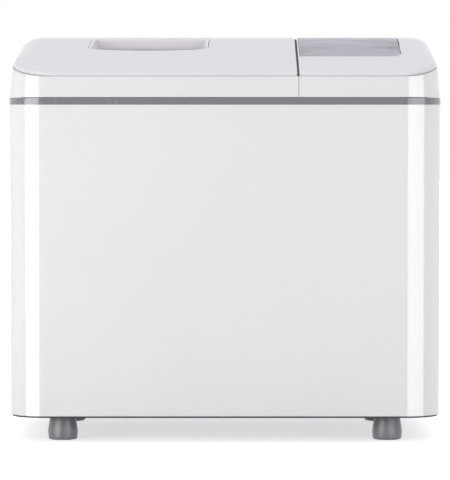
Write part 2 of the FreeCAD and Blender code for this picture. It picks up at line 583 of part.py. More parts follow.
def grip_outline(inset, z0, z1):
    """The finger grip's plan: a bowed front edge, a straight back and rounded corners."""
    left, right, back = -191.5 + inset, -23.6 - inset, 9.0 - inset
    front_end, front_middle, radius = -49.0 + inset, -60.0 + inset, 9.0
    middle = (left + right) / 2
    half = math.sqrt(0.5) * radius
    points = [vec(left, front_end + radius, z0), vec(left + radius - half, front_end + radius - half, z0),
              vec(left + radius, front_end, z0), vec(middle, front_middle, z0),
              vec(right - radius, front_end, z0), vec(right - radius + half, front_end + radius - half, z0),
              vec(right, front_end + radius, z0), vec(right, back - radius, z0),
              vec(right - radius + half, back - radius + half, z0), vec(right - radius, back, z0),
              vec(left + radius, back, z0), vec(left + radius - half, back - radius + half, z0),
              vec(left, back - radius, z0)]
    edges = [Part.Arc(*points[0:3]).toShape(), Part.Arc(*points[2:5]).toShape(),
             Part.Arc(*points[4:7]).toShape(), Part.LineSegment(points[6], points[7]).toShape(),
             Part.Arc(*points[7:10]).toShape(), Part.LineSegment(points[9], points[10]).toShape(),
             Part.Arc(*points[10:13]).toShape(), Part.LineSegment(points[12], points[0]).toShape()]
    return Part.Face(Part.Wire(edges)).extrude(vec(0, 0, z1 - z0))


def window_outline(inset, z0, z1):
    return rounded_block(103 + inset, 244 - inset, -90 + inset, 60 - inset, z0, z1, 14 - inset)


def lid_block(x0, x1, inset):
    """The leaning block that one lid fills, moved in by inset on every side but the underside.

    Inside the skirt the corners are rounder, so the skirt is thicker there.
    """
    base = BAND_TOP + LID_GAP
    zone = block(x0 + inset, x1 - inset, -200, LID_REAR - inset, base, 600)
    corner = PANEL_CORNER_RADIUS if inset else CORNER_RADIUS
    return drafted_block(inset, BAND_TOP, 570, corner).common(zone)


def lid_frame(x0, x1, spots, under_panel, under_lip):
    """The lid's skirt, seam wall and rear wall, the tongue that carries the panel, and its hinge knuckles."""
    outer, middle, inner = lid_block(x0, x1, 0), lid_block(x0, x1, WALL), lid_block(x0, x1, 2 * WALL)
    skirt = outer.cut(middle).common(under_lip)
    tongue = middle.cut(inner).common(under_panel).cut(below_crown(LIP_DEPTH + 12))
    frame = skirt.fuse(tongue)
    half_x = WIDTH / 2 - CABINET_STEP - LID_DRAFT * (HINGE_Z - BAND_TOP)
    rear_x0, rear_x1 = max(x0, -half_x) + WALL, min(x1, half_x) - WALL
    frame = frame.cut(block(rear_x0, rear_x1, LID_REAR - 2 * WALL - 1, LID_REAR + 1, BAND_TOP, HINGE_Z - 1))
    for x in spots:
        frame = frame.cut(block(x - 13.5, x + 0.1, LID_REAR - 2 * WALL - 1, LID_REAR + 1,
                                HINGE_Z - 3, HINGE_Z + 10))
        frame = frame.fuse(rod_x(x + 0.3, x + 12, HINGE_Y, HINGE_Z, KNUCKLE_RADIUS))
        frame = frame.cut(rod_x(x - 1, x + 13, HINGE_Y, HINGE_Z, HINGE_PIN_RADIUS + RUNNING_FIT))
    return frame.removeSplitter()


def lid_panel(x0, x1, top, under_panel, below_lip):
    """The lid's crowned top, with a lip turned down all round its edge."""
    whole = lid_block(x0, x1, PANEL_INSET).common(top)
    inner = lid_block(x0, x1, WALL)
    return whole.cut(below_lip).cut(inner.common(under_panel))


def make_lids():
    top = below_crown(0)
    under_panel = below_crown(PANEL_THICKNESS)
    below_lip = below_crown(LIP_DEPTH)
    under_lip = below_crown(LIP_DEPTH + LIP_GAP)
    zones = {"wash": (-300.0, SEAM_X - SEAM_GAP / 2), "spin": (SEAM_X + SEAM_GAP / 2, 300.0)}
    for lid, (x0, x1) in zones.items():
        panel = lid_panel(x0, x1, top, under_panel, below_lip)
        if lid == "wash":
            panel = panel.cut(grip_outline(0, 480, 580))
        else:
            panel = panel.cut(window_outline(0, 480, 580))
        save(lid + "_lid_frame", lid_frame(x0, x1, HINGE_SPOTS[lid], under_panel, under_lip))
        save(lid + "_lid_panel", panel.removeSplitter())

    cup = grip_outline(0.1, 480, 580).common(top.cut(below_crown(GRIP_DEPTH + 2)))
    hollow = grip_outline(GRIP_BEZEL, 480, 600).cut(below_crown(GRIP_DEPTH))
    save("grip_cup", cup.cut(hollow))
    save("spin_window", window_outline(0.15, 480, 580).common(top.cut(under_panel)))


def make_hinges():
    pins, brackets = [], []
    for x in HINGE_SPOTS["wash"] + HINGE_SPOTS["spin"]:
        pins.append(rod_x(x - 12, x + 12, HINGE_Y, HINGE_Z, HINGE_PIN_RADIUS))
        bracket = rod_x(x - 12, x - 0.3, HINGE_Y, HINGE_Z, KNUCKLE_RADIUS)
        bracket = bracket.fuse(block(x - 12, x - 0.3, HINGE_Y, 110.5, HINGE_Z - 3.8, HINGE_Z))
        bracket = bracket.fuse(block(x - 12, x - 0.3, COWL_FRONT, 110.5, COWL_TOP, HINGE_Z - 3.8))
        bracket = bracket.cut(rod_x(x - 13, x, HINGE_Y, HINGE_Z, HINGE_PIN_RADIUS))
        brackets.append(bracket.removeSplitter())
    save("hinge_pins", *pins)
    save("hinge_brackets", *brackets)


os.makedirs("parts", exist_ok=True)
make_base()
make_cabinet_shell()
make_service_cover()
make_trim_band()
make_top_deck()
make_wash_tub()
make_spin_tub()
make_spin_basket()
make_wash_drive()
make_pulsator()
make_spin_drive()
make_capacitor()
make_drain()
make_water_inlet()
make_cowl()
make_controls()
make_lids()
make_hinges()
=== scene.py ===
import bmesh
import bpy
import json
import math
import numpy as np
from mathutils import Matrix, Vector


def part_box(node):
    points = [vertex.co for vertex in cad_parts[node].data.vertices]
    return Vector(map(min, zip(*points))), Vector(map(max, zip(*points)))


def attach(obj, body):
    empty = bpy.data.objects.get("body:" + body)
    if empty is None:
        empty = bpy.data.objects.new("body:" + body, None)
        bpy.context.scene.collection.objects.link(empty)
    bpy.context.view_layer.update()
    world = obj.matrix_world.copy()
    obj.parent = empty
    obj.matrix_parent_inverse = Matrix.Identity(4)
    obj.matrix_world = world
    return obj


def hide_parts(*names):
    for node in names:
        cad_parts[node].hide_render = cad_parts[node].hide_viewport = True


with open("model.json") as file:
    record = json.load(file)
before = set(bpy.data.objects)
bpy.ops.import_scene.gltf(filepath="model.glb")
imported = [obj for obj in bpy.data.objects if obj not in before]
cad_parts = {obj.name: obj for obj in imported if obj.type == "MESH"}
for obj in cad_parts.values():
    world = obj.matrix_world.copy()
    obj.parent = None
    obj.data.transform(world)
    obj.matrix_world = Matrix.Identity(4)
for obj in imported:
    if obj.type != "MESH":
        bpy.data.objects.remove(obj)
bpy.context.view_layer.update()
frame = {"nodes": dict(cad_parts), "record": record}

# ---------------------------------------------------------------- driving sizes, in metres
MM = 0.001

# The cabinet, as the trim band has it.
BAND_LOW, BAND_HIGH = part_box("trim_band")
HALF_X, HALF_Y, BAND_TOP = BAND_HIGH[0], BAND_HIGH[1], BAND_HIGH[2]
BAND_BOTTOM = BAND_LOW[2]

# The lids' outer walls, which lean inwards from the band.
CABINET_STEP = 1 * MM
LID_DRAFT = 0.082               # how far the walls lean in for each unit of height
PANEL_CORNER_RADIUS = 62 * MM
LID_REAR = 105.5 * MM
SEAM_LEFT = 98.4 * MM           # where the two lid tops end at the seam
SEAM_RIGHT = 100.55 * MM

# The lids' upper surface: a straight front slope, a rise to the crown and a fall behind it.
FRONT_CREASE = 502 * MM         # height of the slope's front end
FRONT_SLOPE = 0.275
SLOPE_END = -9 * MM             # y where the straight front slope ends
CROWN_LINE = 34 * MM            # y where the lids are highest
CROWN_TOP = 554.4 * MM
RISE_SPAN = 0.312               # twice the radius that the rise bends to
FALL_SPAN = 1.000
ROLL_START = 254 * MM           # distance from the middle where the ends begin to roll off
ROLL_WIDTH = 34.6 * MM
ROLL_LEFT, ROLL_LEFT_POWER = 14.3 * MM, 2.5
ROLL_RIGHT, ROLL_RIGHT_POWER = 12 * MM, 3.5
ROLL_REACH = 1.3                # the roll-off stops growing at this many roll widths
ROLL_FADE_START = 60 * MM       # the roll-off fades in behind the front edge
ROLL_FADE_LENGTH = 130 * MM

# The lid tops as panels.
PANEL_INSET = 0.4 * MM
PANEL_THICKNESS = 3 * MM
PANEL_CORNER_BLEND = 3 * MM     # where the wall, the seam and the rear edge meet
LIP_DEPTH = 4.4 * MM
LIP_WIDTH = 2.1 * MM
OUTER_ROUNDING = 3.8 * MM
SEAM_ROUNDING = 2.6 * MM
REAR_ROUNDING = 2.5 * MM
HOLE_ROUNDING = 0.7 * MM

# The finger grip. Its front edge bows towards the user and its ends slant.
GRIP_CENTRE = (-107.5 * MM, -21.5 * MM)
GRIP_HALF_WIDTH = 84 * MM
GRIP_FRONT = -60 * MM           # y of the front edge at its middle
GRIP_BOW = 11 * MM              # how much further back that edge is at its ends
GRIP_BACK = 9 * MM
GRIP_LEFT, GRIP_LEFT_SLANT = -191.5 * MM, 0.08
GRIP_RIGHT, GRIP_RIGHT_SLANT = -23.6 * MM, 0.035
GRIP_SLANT_LINE = -50 * MM      # y where the ends are at GRIP_LEFT and GRIP_RIGHT
GRIP_CORNER_RADIUS = 9 * MM
GRIP_BOTTOM = 15.9              # depth of the cup's underside, in millimetres
GRIP_RIM_DIP = 2.6 * MM         # how far the rim sinks at the front edge
GRIP_RIM_DIP_REACH = 14 * MM
GRIP_BACK_DEEPENING = 0.26      # share of its depth that the cup gains towards its back
GRIP_DEEPENING_LENGTH = 50 * MM

# The window in the spin lid, rounded on its right side only.
WINDOW_CENTRE = (173.5 * MM, -15 * MM)
WINDOW_LEFT, WINDOW_RIGHT = 103 * MM, 244 * MM
WINDOW_FRONT, WINDOW_BACK = -90 * MM, 60 * MM
WINDOW_CORNER_RADIUS = 14 * MM
WINDOW_PANE_RIGHT = 243.3 * MM
WINDOW_UNDERSIDE = 2.8          # depth of the pane's underside, in millimetres

# How fine the lid meshes are.
RAYS = 720                      # spokes of a lid top
INSERT_RAYS = 480               # spokes of the grip and the window
RINGS_BETWEEN = 15              # steps between a lid top's edge and its hole


# ---------------------------------------------------------------- node helpers
class Material:
    """A material made of a Principled shader and procedural nodes in object space."""

    def __init__(self, name, roughness, metallic=0.0, ior=1.5, coat=0.0, coat_roughness=0.05, sheen=0.0):
        self.data = bpy.data.materials.new(name)
        self.data.use_nodes = True
        self.nodes = self.data.node_tree.nodes
        self.links = self.data.node_tree.links
        self.shader = self.nodes["Principled BSDF"]
        self.set("Roughness", roughness)
        self.set("Metallic", metallic)
        self.set("IOR", ior)
        self.set("Coat Weight", coat)
        self.set("Coat Roughness", coat_roughness)
        self.set("Sheen Weight", sheen)
        self.place = self.nodes.new("ShaderNodeTexCoord").outputs["Object"]

    def set(self, socket, value):
        self.shader.inputs[socket].default_value = value

    def stretched(self, scale, turn):
        """Object coordinates turned about Z and multiplied by scale on each axis."""
        node = self.nodes.new("ShaderNodeMapping")
        node.inputs["Rotation"].default_value = (0.0, 0.0, turn)
        node.inputs["Scale"].default_value = scale
        self.links.new(self.place, node.inputs["Vector"])
        return node.outputs["Vector"]

    def noise(self, scale, detail=3.0, roughness=0.5, stretch=(1, 1, 1), distortion=0.0, turn=0.0):
        node = self.nodes.new("ShaderNodeTexNoise")
        node.inputs["Scale"].default_value = scale
        node.inputs["Detail"].default_value = detail
        node.inputs["Roughness"].default_value = roughness
        node.inputs["Distortion"].default_value = distortion
        self.links.new(self.stretched(stretch, turn), node.inputs["Vector"])
        return node.outputs["Fac"]

    def ramp(self, value, *stops):
        """A colour or grey that follows value. Each stop is (position, colour)."""
        node = self.nodes.new("ShaderNodeValToRGB")
        elements = node.color_ramp.elements
        while len(elements) < len(stops):
            elements.new(0.5)
        for element, (position, colour) in zip(elements, stops):
            element.position = position
            element.color = (*colour, 1.0)
        self.links.new(value, node.inputs["Fac"])
        return node.outputs["Color"]

    def greys(self, value, low, high, start=0.3, end=0.7):
        return self.ramp(value, (start, (low,) * 3), (end, (high,) * 3))

    def multiply(self, first, second):
        node = self.nodes.new("ShaderNodeMix")
        node.data_type = "RGBA"
        node.blend_type = "MULTIPLY"
        node.inputs["Factor"].default_value = 1.0
        self.links.new(first, node.inputs[6])
        self.links.new(second, node.inputs[7])
        return node.outputs[2]

    def to(self, socket, value):
        self.links.new(value, self.shader.inputs[socket])

    def bump(self, *layers):
        """Bump from several (height, distance in metres) layers."""
        previous = None
        for height, distance in layers:
            node = self.nodes.new("ShaderNodeBump")
            node.inputs["Strength"].default_value = 1.0
            node.inputs["Distance"].default_value = distance
            self.links.new(height, node.inputs["Height"])
            if previous is not None:
                self.links.new(previous, node.inputs["Normal"])
            previous = node.outputs["Normal"]
        self.to("Normal", previous)

    def worn_edges(self, colour, edge_tone):
        """Multiplies colour by edge_tone where the surface turns sharply."""
        pointy = self.nodes.new("ShaderNodeNewGeometry").outputs["Pointiness"]
        wear = self.ramp(pointy, (0.52, (1, 1, 1)), (0.60, (edge_tone,) * 3))
        return self.multiply(colour, wear)


def shades(colour, spread):
    """A darker and a lighter version of a colour."""
    return tuple(c * (1 - spread) for c in colour), tuple(min(1.0, c * (1 + spread)) for c in colour)


def moulded_plastic(name, colour, roughness=0.22, coat=0.0, grain=0.0, peel=0.6, spread=0.02, edge=1.0):
    """Injection-moulded plastic: faint flow marks, orange peel and, with grain, a fine texture."""
    m = Material(name, roughness, ior=1.52, coat=coat)
    dark, light = shades(colour, spread)
    tone = m.ramp(m.noise(5.0, detail=4.0), (0.3, dark), (0.7, light))
    if edge != 1.0:
        tone = m.worn_edges(tone, edge)
    m.to("Base Color", tone)
    smudge = m.noise(26.0, detail=5.0, roughness=0.6)
    m.to("Roughness", m.greys(smudge, roughness * 0.75, roughness * 1.35))
    layers = [(m.noise(90.0, detail=2.0), peel * 0.02 * MM)]
    if grain:
        layers.append((m.noise(1400.0, detail=3.0, roughness=0.65), grain * MM))
    m.bump(*layers)
    return m.data


def soft_rubber(name, colour, roughness=0.6):
    """Rubber: matt, with a dusty bloom and a fine rough skin."""
    m = Material(name, roughness, ior=1.45, sheen=0.15)
    dark, light = shades(colour, 0.22)
    tone = m.ramp(m.noise(38.0, detail=5.0, roughness=0.6), (0.32, dark), (0.72, light))
    m.to("Base Color", m.worn_edges(tone, 1.35))
    m.to("Roughness", m.greys(m.noise(60.0, detail=4.0), roughness * 0.8, min(1.0, roughness * 1.2)))
    skin = m.noise(900.0, detail=3.0, roughness=0.7)
    waves = m.noise(120.0, detail=2.0)
    m.bump((skin, 0.03 * MM), (waves, 0.04 * MM))
    return m.data


def brushed_metal(name, colour, roughness=0.28, stretch=(1, 1, 40), rust=False):
    """Metal with drawn scratches along one axis and uneven shine."""
    m = Material(name, roughness, metallic=1.0)
    dark, light = shades(colour, 0.10)
    grain = m.noise(60.0, detail=6.0, roughness=0.7, stretch=stretch)
    tone = m.ramp(grain, (0.3, dark), (0.7, light))
    if rust:
        patches = m.noise(70.0, detail=6.0, roughness=0.7)
        tone = m.multiply(tone, m.ramp(patches, (0.62, (1, 1, 1)), (0.75, (0.75, 0.6, 0.5))))
    m.to("Base Color", tone)
    m.to("Roughness", m.greys(grain, roughness * 0.7, roughness * 1.5))
    m.bump((grain, 0.012 * MM), (m.noise(15.0, detail=2.0), 0.05 * MM))
    return m.data


def cast_metal(name, colour, roughness=0.5, metallic=1.0):
    """Cast or sand-blasted metal with a pitted skin."""
    m = Material(name, roughness, metallic=metallic)
    dark, light = shades(colour, 0.18)
    tone = m.ramp(m.noise(45.0, detail=5.0, roughness=0.6), (0.3, dark), (0.7, light))
    m.to("Base Color", m.worn_edges(tone, 1.3))
    m.to("Roughness", m.greys(m.noise(80.0, detail=4.0), roughness * 0.8, roughness * 1.25))
    pits = m.noise(500.0, detail=4.0, roughness=0.7)
    hollows = m.noise(70.0, detail=3.0)
    m.bump((pits, 0.08 * MM), (hollows, 0.08 * MM))
    return m.data


def enamel(name, colour, roughness=0.3):
    """Sprayed motor enamel with orange peel and small chips."""
    m = Material(name, roughness, ior=1.5, coat=0.3, coat_roughness=0.2)
    dark, light = shades(colour, 0.12)
    tone = m.ramp(m.noise(22.0, detail=4.0), (0.3, dark), (0.7, light))
    m.to("Base Color", m.worn_edges(tone, 1.6))
    m.to("Roughness", m.greys(m.noise(40.0, detail=4.0), roughness * 0.8, roughness * 1.4))
    m.bump((m.noise(260.0, detail=2.0), 0.05 * MM), (m.noise(900.0, detail=2.0), 0.01 * MM))
    return m.data


def smoked_window(name):
    """Smoke-tinted plastic that lets little light through, with light scratches. Its base colour runs from
    the dark smoke tint into painted reflections: slanting light bluish streaks that stand for sky and glare
    mirrored in the pane.
    """
    m = Material(name, 0.07, ior=1.5, coat=0.6, coat_roughness=0.03)
    # Painted reflection: the ramp's dark end is the smoke tint, and its light bluish end is reflected sky
    # and glare painted into the base colour.
    painted_reflection_streaks = m.noise(7.0, detail=4.0, roughness=0.55, stretch=(1.0, 3.6, 3.6), distortion=0.6, turn=0.5)
    tone = m.ramp(painted_reflection_streaks, (0.34, (0.17, 0.175, 0.20)), (0.45, (0.36, 0.365, 0.41)),
                  (0.56, (0.43, 0.44, 0.52)), (0.68, (0.50, 0.53, 0.64)))
    m.to("Base Color", tone)
    scratches = m.noise(18.0, detail=6.0, roughness=0.7, stretch=(1, 6, 6))
    m.to("Roughness", m.greys(scratches, 0.05, 0.22))
    ripples = m.noise(30.0, detail=3.0, roughness=0.5, stretch=(1, 3, 3))
    skin = m.noise(160.0, detail=2.0)
    m.bump((ripples, 0.05 * MM), (skin, 0.008 * MM))
    m.set("Alpha", 0.86)
    m.data.surface_render_method = "BLENDED"
    return m.data


PLASTICS = {
    # slot: (colour, roughness, other settings of moulded_plastic)
    "white_gloss": ((0.735, 0.733, 0.725), 0.15, {"coat": 1.0, "spread": 0.008}),
    "grey_trim": ((0.185, 0.190, 0.200), 0.22, {"coat": 1.0, "grain": 0.001, "spread": 0.03}),
    "foot_rubber": ((0.215, 0.220, 0.230), 0.34, {"coat": 0.2, "grain": 0.01, "spread": 0.10}),
    "tub_plastic": ((0.70, 0.73, 0.74), 0.32, {"grain": 0.006, "spread": 0.03}),
    "pulsator_plastic": ((0.30, 0.42, 0.53), 0.24, {"coat": 0.3, "spread": 0.06}),
    "dark_plastic": ((0.045, 0.048, 0.052), 0.42, {"grain": 0.02, "spread": 0.15}),
    "rear_plastic": ((0.66, 0.67, 0.68), 0.36, {"grain": 0.012, "spread": 0.03}),
    "facia_plastic": ((0.52, 0.54, 0.57), 0.34, {"grain": 0.010, "spread": 0.03}),
    "knob_plastic": ((0.16, 0.17, 0.185), 0.26, {"coat": 0.4, "spread": 0.05, "edge": 1.15}),
    # grip_white is a lighter copy of the lids' white: painted light that makes the grip's recess look
    # brighter.
    "grip_white": ((0.86, 0.84, 0.85), 0.2, {"coat": 1.0, "spread": 0.012}),
    "print_ink": ((0.08, 0.09, 0.10), 0.5, {"grain": 0.004, "spread": 0.1}),
    "pointer_white": ((0.82, 0.82, 0.80), 0.35, {"spread": 0.02}),
}
MATERIALS = {
    "smoke_window": smoked_window("smoke_window"),
    "basket_steel": brushed_metal("basket_steel", (0.66, 0.67, 0.68), 0.26, (1, 1, 30)),
    "zinc_steel": brushed_metal("zinc_steel", (0.58, 0.58, 0.56), 0.34, (6, 6, 6), rust=True),
    "black_rubber": soft_rubber("black_rubber", (0.022, 0.022, 0.022)),
    "motor_enamel": enamel("motor_enamel", (0.10, 0.11, 0.12)),
    "motor_iron": cast_metal("motor_iron", (0.28, 0.28, 0.29), 0.5),
    "cast_alloy": cast_metal("cast_alloy", (0.62, 0.63, 0.64), 0.42),
}
for finish, (colour, roughness, settings) in PLASTICS.items():
    MATERIALS[finish] = moulded_plastic(finish, colour, roughness, **settings)


def paint(piece, material):
    """Gives a piece this one material."""
    piece.data.materials.clear()
    piece.data.materials.append(material)


def paint_cad_nodes():
    """Every CAD node gets the finish of its slot in the record."""
    for entry in frame["record"]["subparts"]:
        paint(frame["nodes"][entry["node"]], MATERIALS[entry["material_slot"]])


def soften_edges(node, width):
    """Rounds a CAD node's sharp edges with modifiers: its own mesh stays as it is."""
    piece = frame["nodes"][node]
    weld = piece.modifiers.new("weld", "WELD")
    weld.merge_threshold = 0.005 * MM
    bevel = piece.modifiers.new("bevel", "BEVEL")
    bevel.width = width
    bevel.segments = 3
    bevel.limit_method = "ANGLE"
    bevel.angle_limit = math.radians(40)
    bevel.use_clamp_overlap = True
    normals = piece.modifiers.new("normals", "WEIGHTED_NORMAL")
    normals.keep_sharp = True


# ---------------------------------------------------------------- mesh helpers
def finish_mesh(name, vertices, faces, material, body, replaced, sharp=35.0, weld=1e-7):
    """Makes a piece from its points and faces, and rides it on body.

    Points nearer than weld, in metres, become one. Edges turning more than sharp degrees stay crisp.
    """
    mesh = bpy.data.meshes.new(name)
    mesh.from_pydata([tuple(v) for v in vertices], [], faces)
    piece = bpy.data.objects.new(name, mesh)
    bpy.context.scene.collection.objects.link(piece)
    work = bmesh.new()
    work.from_mesh(mesh)
    bmesh.ops.remove_doubles(work, verts=work.verts, dist=weld)
    bmesh.ops.recalc_face_normals(work, faces=work.faces)
    work.to_mesh(mesh)
    work.free()
    mesh.polygons.foreach_set("use_smooth", [True] * len(mesh.polygons))
    mesh.set_sharp_from_angle(angle=math.radians(sharp))
    mesh.materials.append(material)
    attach(piece, body)
    if replaced:
        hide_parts(*replaced)
    return piece


def ring_faces(rings, count, closed):
    """Quads between neighbouring rings of count points. A closed stack joins its last ring to its first."""
    faces = []
    last = rings if closed else rings - 1
    for ring in range(last):
        a, b = ring * count, ((ring + 1) % rings) * count
        for spoke in range(count):
            after = (spoke + 1) % count
            faces.append((a + spoke, a + after, b + after, b + spoke))
    return faces


def capped_faces(rings, count):
    """Quads between rings, with a fan to one point before the first ring and one after the last."""
    faces = ring_faces(rings, count, False)
    first, last = rings * count, rings * count + 1
    base = (rings - 1) * count
    for spoke in range(count):
        after = (spoke + 1) % count
        faces.append((first, after, spoke))
        faces.append((base + spoke, base + after, last))
    return faces


# ---------------------------------------------------------------- the lids' form
def crown(x, y):
    """Height of the lids' upper surface, whose two ends roll off a little differently."""
    slope = FRONT_CREASE + FRONT_SLOPE * (y + HALF_Y)
    rise = CROWN_TOP - (CROWN_LINE - y) ** 2 / RISE_SPAN
    fall = CROWN_TOP - (y - CROWN_LINE) ** 2 / FALL_SPAN
    height = np.where(y <= SLOPE_END, slope, np.where(y < CROWN_LINE, rise, fall))
    beyond = np.clip((np.abs(x) - ROLL_START) / ROLL_WIDTH, 0.0, ROLL_REACH)
    fade = np.clip((y + HALF_Y - ROLL_FADE_START) / ROLL_FADE_LENGTH, 0.0, 1.0)
    roll = np.where(x < 0, ROLL_LEFT * beyond ** ROLL_LEFT_POWER, ROLL_RIGHT * beyond ** ROLL_RIGHT_POWER)
    return height - fade * fade * (3 - 2 * fade) * roll


def inside(distances, radius):
    """Distance inside a shape with several edges, whose corners have one radius."""
    short = np.sqrt(sum(np.maximum(radius - d, 0.0) ** 2 for d in distances))
    nearest = np.minimum.reduce(distances)
    return np.where(short > 0, radius - short, nearest)


def lid_edges(x, y, z, right):
    """Distances to the leaning outer wall, the seam and the rear edge of the left or right lid."""
    lean = CABINET_STEP + LID_DRAFT * (z - BAND_TOP)
    outer = inside([HALF_X - lean - np.abs(x), HALF_Y - lean - np.abs(y)], PANEL_CORNER_RADIUS - lean)
    seam = x - SEAM_RIGHT if right else SEAM_LEFT - x
    return outer - PANEL_INSET, seam, LID_REAR - y


def rounding(distance, radius):
    """How far a rounded edge has dropped at this distance in from it."""
    left = np.clip(radius - distance, 0.0, radius)
    return radius - np.sqrt(radius * radius - left * left)


def grip_front(x):
    """The y of the finger grip's bowed front edge."""
    across = (x - GRIP_CENTRE[0]) / GRIP_HALF_WIDTH
    return GRIP_FRONT + GRIP_BOW * across ** 2


def grip_inside(x, y):
    """Distance inside the finger grip's outline."""
    left = GRIP_LEFT + GRIP_LEFT_SLANT * (y - GRIP_SLANT_LINE)
    right = GRIP_RIGHT + GRIP_RIGHT_SLANT * (y - GRIP_SLANT_LINE)
    ends = np.minimum(x - left, right - x)
    sides = np.minimum(y - grip_front(x), GRIP_BACK - y)
    return inside([ends, sides], GRIP_CORNER_RADIUS)


def grip_sink(x, y, depth):
    """How far a point of the cup sinks: its rim along the front edge, and its depths towards the back."""
    behind = np.clip((y - grip_front(x)) / GRIP_RIM_DIP_REACH, 0.0, 1.0)
    rim = GRIP_RIM_DIP * (1 - behind ** 2) * (1 - depth / GRIP_BOTTOM)
    towards_back = np.clip((y - GRIP_SLANT_LINE) / GRIP_DEEPENING_LENGTH, 0.0, 1.0)
    return rim + GRIP_BACK_DEEPENING * towards_back * depth * MM


def window_inside(x, y):
    """Distance inside the window's opening."""
    ends = np.minimum(y - WINDOW_FRONT, WINDOW_BACK - y)
    return np.minimum(inside([WINDOW_RIGHT - x, ends], WINDOW_CORNER_RADIUS), x - WINDOW_LEFT)


def window_pane_inside(x, y):
    """Distance inside the pane, which leaves a gap at the opening's right side."""
    return np.minimum(window_inside(x, y), WINDOW_PANE_RIGHT - x)


def no_sink(x, y, depth):
    """The window follows the lid's surface everywhere."""
    return 0.0


def reach_along(centre, angles, field, target):
    """How far each spoke from centre goes before field falls to target."""
    low, high = np.zeros(len(angles)), np.full(len(angles), 0.6)
    for _ in range(40):
        middle = (low + high) / 2
        value = field(centre[0] + middle * np.cos(angles), centre[1] + middle * np.sin(angles))
        low, high = np.where(value >= target, middle, low), np.where(value >= target, high, middle)
    return low


def spokes(count):
    """The angles of count spokes, evenly round a circle."""
    return np.linspace(0, 2 * math.pi, count, endpoint=False)


def lid_panel(name, body, node, right, centre, hole):
    """A crowned lid top with a rounded edge, a turned-down lip and one hole."""
    angles = spokes(RAYS)

    def edge(drop):
        def field(x, y):
            return inside(list(lid_edges(x, y, crown(x, y) - drop, right)), PANEL_CORNER_BLEND)
        return field

    def ring(reach, depth, rounded):
        x, y = centre[0] + reach * np.cos(angles), centre[1] + reach * np.sin(angles)
        z = crown(x, y) - depth
        if rounded:
            outer, seam, rear = lid_edges(x, y, crown(x, y), right)
            z = z - rounding(outer, OUTER_ROUNDING) - rounding(seam, SEAM_ROUNDING)
            z = z - rounding(rear, REAR_ROUNDING) - rounding(-hole(x, y), HOLE_ROUNDING)
            z = np.maximum(z, crown(x, y) - LIP_DEPTH)
        return np.stack([x, y, z], axis=1)

    # Rings lie close together where the surface bends: distances in from the edge and the hole, in mm.
    near_edge = [0.0, 0.1, 0.35, 0.8, 1.5, 2.4, 3.6, 5.2, 7.5]
    near_hole = [6.0, 3.0, 1.5, 0.7, 0.4, 0.2, 0.08, 0.0]
    outer_reach = [reach_along(centre, angles, edge(0.0), inset * MM) for inset in near_edge]
    hole_reach = [reach_along(centre, angles, hole, -gap * MM) for gap in near_hole]
    halfway = (outer_reach[0] + hole_reach[-1]) / 2
    outer_reach = [np.maximum(reach, halfway) for reach in outer_reach]
    hole_reach = [np.minimum(reach, halfway) for reach in hole_reach]
    start, end = outer_reach[-1], hole_reach[0]
    between = [start + (end - start) * step / RINGS_BETWEEN for step in range(1, RINGS_BETWEEN)]
    rings = [ring(reach, 0.0, True) for reach in outer_reach + between + hole_reach]
    under = [ring(reach, PANEL_THICKNESS, False) for reach in reversed(between + hole_reach[-1:])]
    lip_inner = reach_along(centre, angles, edge(LIP_DEPTH), LIP_WIDTH)
    lip_outer = reach_along(centre, angles, edge(LIP_DEPTH), 0.0)
    rings += under
    rings.append(ring(lip_inner, PANEL_THICKNESS, False))
    rings.append(ring(lip_inner, LIP_DEPTH, False))
    rings.append(ring(lip_outer, LIP_DEPTH, False))
    finish_mesh(name, np.concatenate(rings), ring_faces(len(rings), RAYS, True),
                MATERIALS["white_gloss"], body, [node])


def crowned_insert(name, body, node, centre, field, sink, profile, bottom, material, floor_rings):
    """A piece let into a lid. profile lists (inset, depth) from its rim inwards, in millimetres."""
    angles = spokes(INSERT_RAYS)
    floor = profile[-1][1]

    def ring(reach, depth):
        x, y = centre[0] + reach * np.cos(angles), centre[1] + reach * np.sin(angles)
        return np.stack([x, y, crown(x, y) - depth * MM - sink(x, y, depth)], axis=1)

    reaches = [reach_along(centre, angles, field, inset * MM) for inset, _ in profile]
    rings = [ring(reach, depth) for reach, (_, depth) in zip(reaches, profile)]
    for step in range(1, floor_rings):
        rings.append(ring(reaches[-1] * (1 - step / floor_rings), floor))
    rings.reverse()
    for step in range(floor_rings):
        rings.append(ring(reaches[0] * (1 - step / floor_rings), bottom))
    no_reach = np.zeros(len(angles))
    ends = np.array([ring(no_reach, floor)[0], ring(no_reach, bottom)[0]])
    vertices = np.concatenate(rings + [ends])
    finish_mesh(name, vertices, capped_faces(len(rings), len(angles)), material, body, [node])


def make_grip_cup():
    """The finger grip: a rim, a steep wall and an undercut above the floor for the fingertips."""
    profile = [(0.55, 3.0), (0.55, 0.7), (0.7, 0.3), (1.1, 0.08), (1.6, 0.0), (3.2, 0.0), (3.7, 0.12),
               (4.1, 0.5), (4.4, 1.2), (5.4, 4.0), (6.7, 8.0), (7.2, 10.3), (7.2, 10.8), (4.4, 11.2),
               (4.4, 12.4), (4.9, 13.4), (6.6, 14.0)]
    # The cup's lighter white is painted light, so that the recess looks brighter than the lid around it.
    crowned_insert("grip_cup_shell", "wash_lid", "grip_cup", GRIP_CENTRE, grip_inside, grip_sink, profile,
                   GRIP_BOTTOM, MATERIALS["grip_white"], 10)


def make_window():
    """The window's pane: thin, with a softened rim."""
    profile = [(0.25, 2.0), (0.25, 0.6), (0.4, 0.3), (0.8, 0.15), (1.6, 0.12)]
    crowned_insert("spin_window_pane", "spin_lid", "spin_window", WINDOW_CENTRE, window_pane_inside,
                   no_sink, profile, WINDOW_UNDERSIDE, MATERIALS["smoke_window"], 22)


